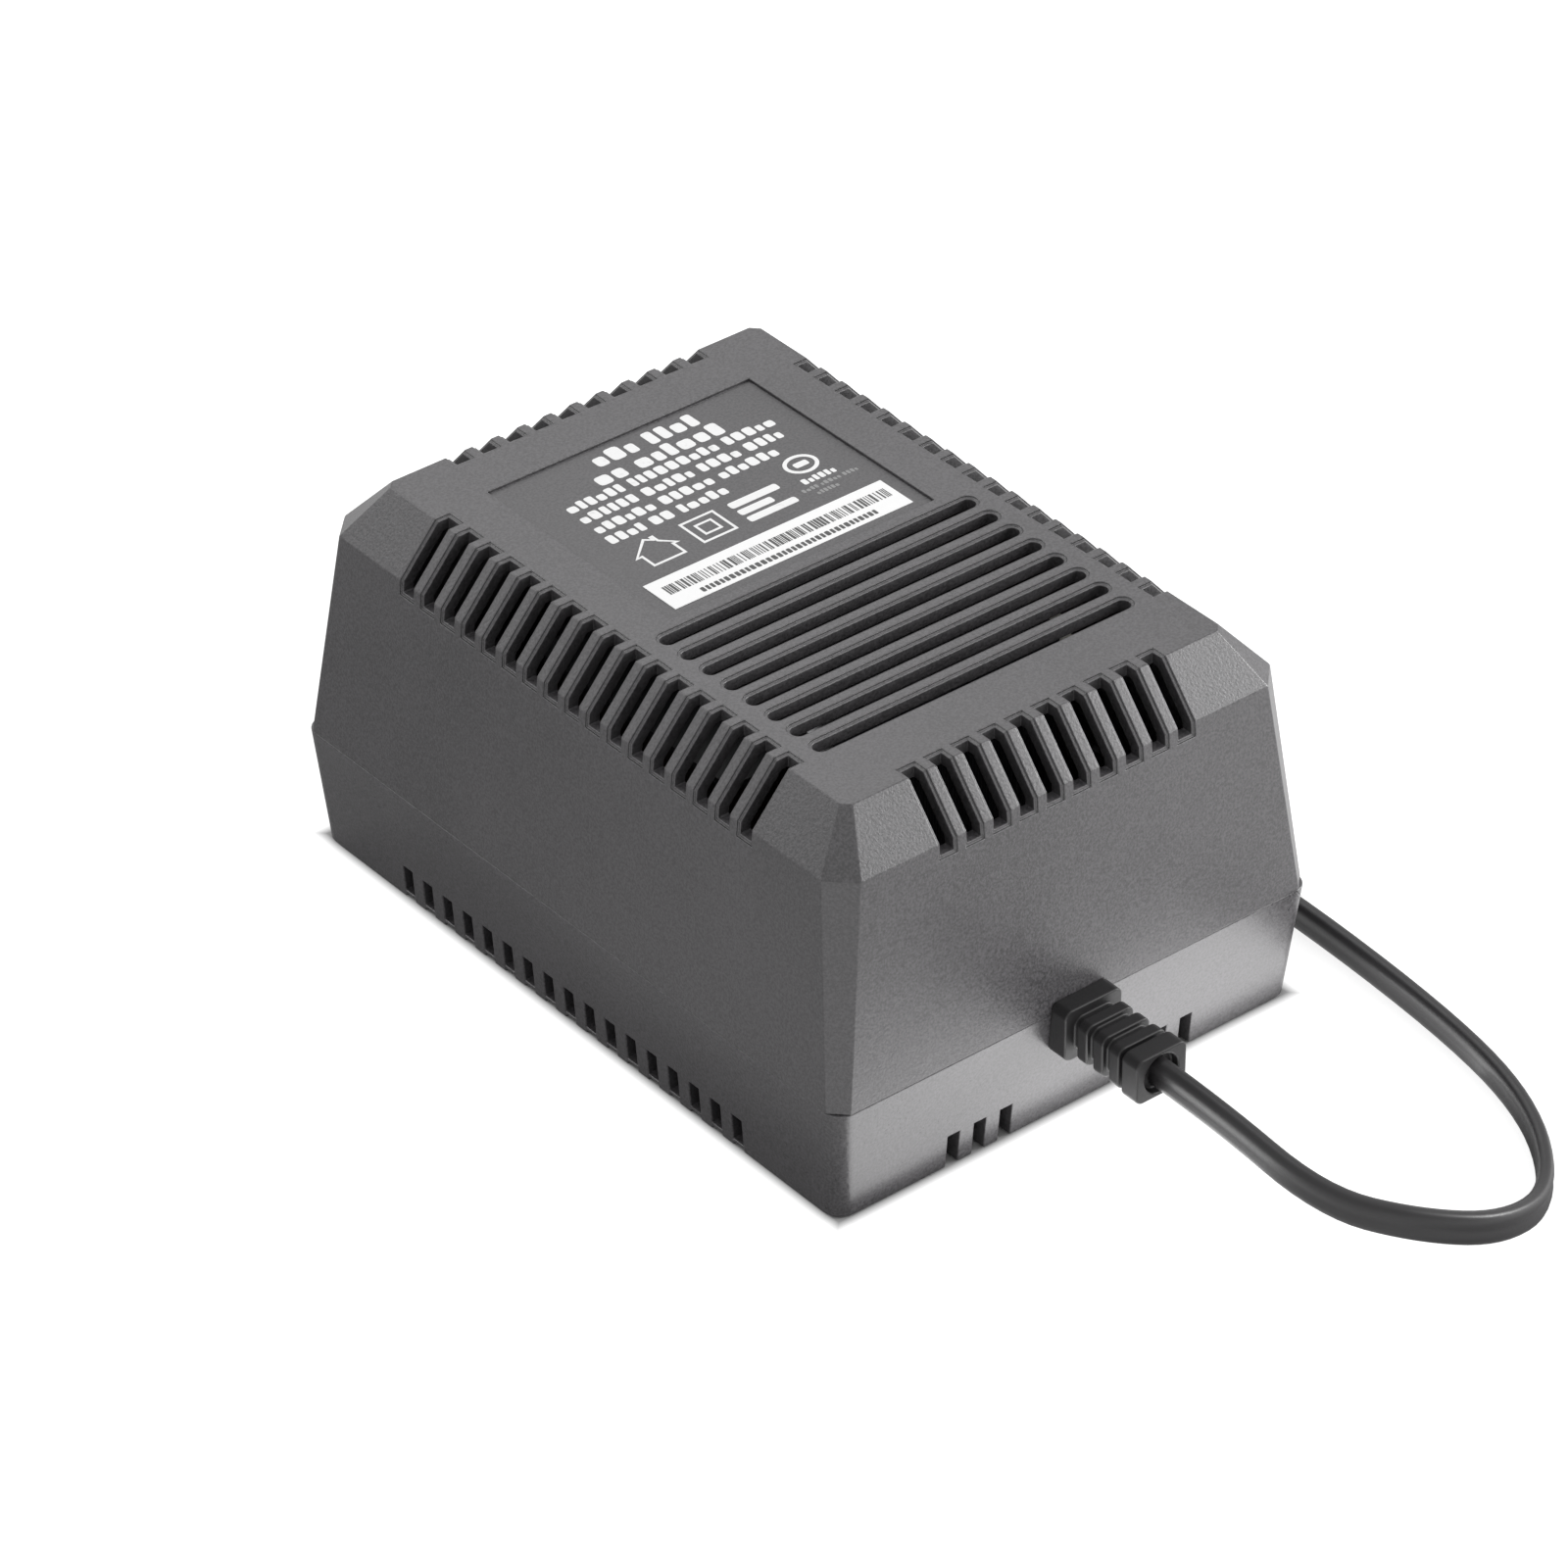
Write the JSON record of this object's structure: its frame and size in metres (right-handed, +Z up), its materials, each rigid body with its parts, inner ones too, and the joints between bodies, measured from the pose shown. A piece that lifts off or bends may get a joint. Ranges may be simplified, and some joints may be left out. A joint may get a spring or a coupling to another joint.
{
  "type": "desktop mains transformer",
  "caption": "Desktop AC transformer in a vented two-shell plastic case, laminated core and bobbin inside, moulded strain relief, flat twin output lead with a barrel plug.",
  "frame": {"origin": "middle of the case's footprint, on the surface that it stands on", "axes": "+Z up, -Y the end that the output lead leaves, +X the right side seen from that end"},
  "size_m": [0.1218, 0.2297, 0.0605],
  "materials": {
    "case_plastic": "charcoal moulded case with a fine spark-eroded grain",
    "screw_steel": "zinc-plated screws, bolts, nuts and washers",
    "lamination_steel": "varnished silicon-steel laminations",
    "bobbin_nylon": "natural nylon bobbin",
    "tinned_brass": "tinned terminal pins",
    "enamelled_wire": "enamelled copper wire",
    "winding_tape": "yellow polyester tape",
    "fuse_can": "metal can of the thermal fuse",
    "lead_insulation": "insulation of the hook-up leads",
    "cap_nylon": "nylon crimp caps",
    "cord_pvc": "black flexible vinyl of the strain relief, gland and flat twin lead",
    "label_film": "dark printed film",
    "sticker_paper": "white paper sticker",
    "tie_plastic": "black tie round the wound-up lead",
    "plug_pvc": "black vinyl overmoulding of the plug",
    "plated_barrel": "nickel-plated barrel",
    "plug_insulation": "insulating core of the barrel"
  },
  "bodies": {
    "root": {"upper_housing": "case_plastic", "base_housing": "case_plastic", "housing_screws": "screw_steel", "core_e_laminations": "lamination_steel", "core_i_laminations": "lamination_steel", "core_bolts": "screw_steel", "core_nuts": "screw_steel", "core_washers": "screw_steel", "bobbin": "bobbin_nylon", "terminal_pins": "tinned_brass", "primary_winding": "enamelled_wire", "secondary_winding": "enamelled_wire", "primary_tape": "winding_tape", "secondary_tape": "winding_tape", "thermal_fuse": "fuse_can", "primary_leads": "lead_insulation", "splice_caps": "cap_nylon", "secondary_leads": "lead_insulation", "strain_relief": "cord_pvc", "rear_cord_gland": "cord_pvc", "rating_label": "label_film", "serial_sticker": "sticker_paper", "cord_hank": "cord_pvc", "cord_tie": "tie_plastic", "output_cord": "cord_pvc", "cord_tail": "cord_pvc", "plug_body": "plug_pvc", "plug_barrel": "plated_barrel", "plug_insulator": "plug_insulation", "plug_contact": "plated_barrel"}
  },
  "joints": []
}
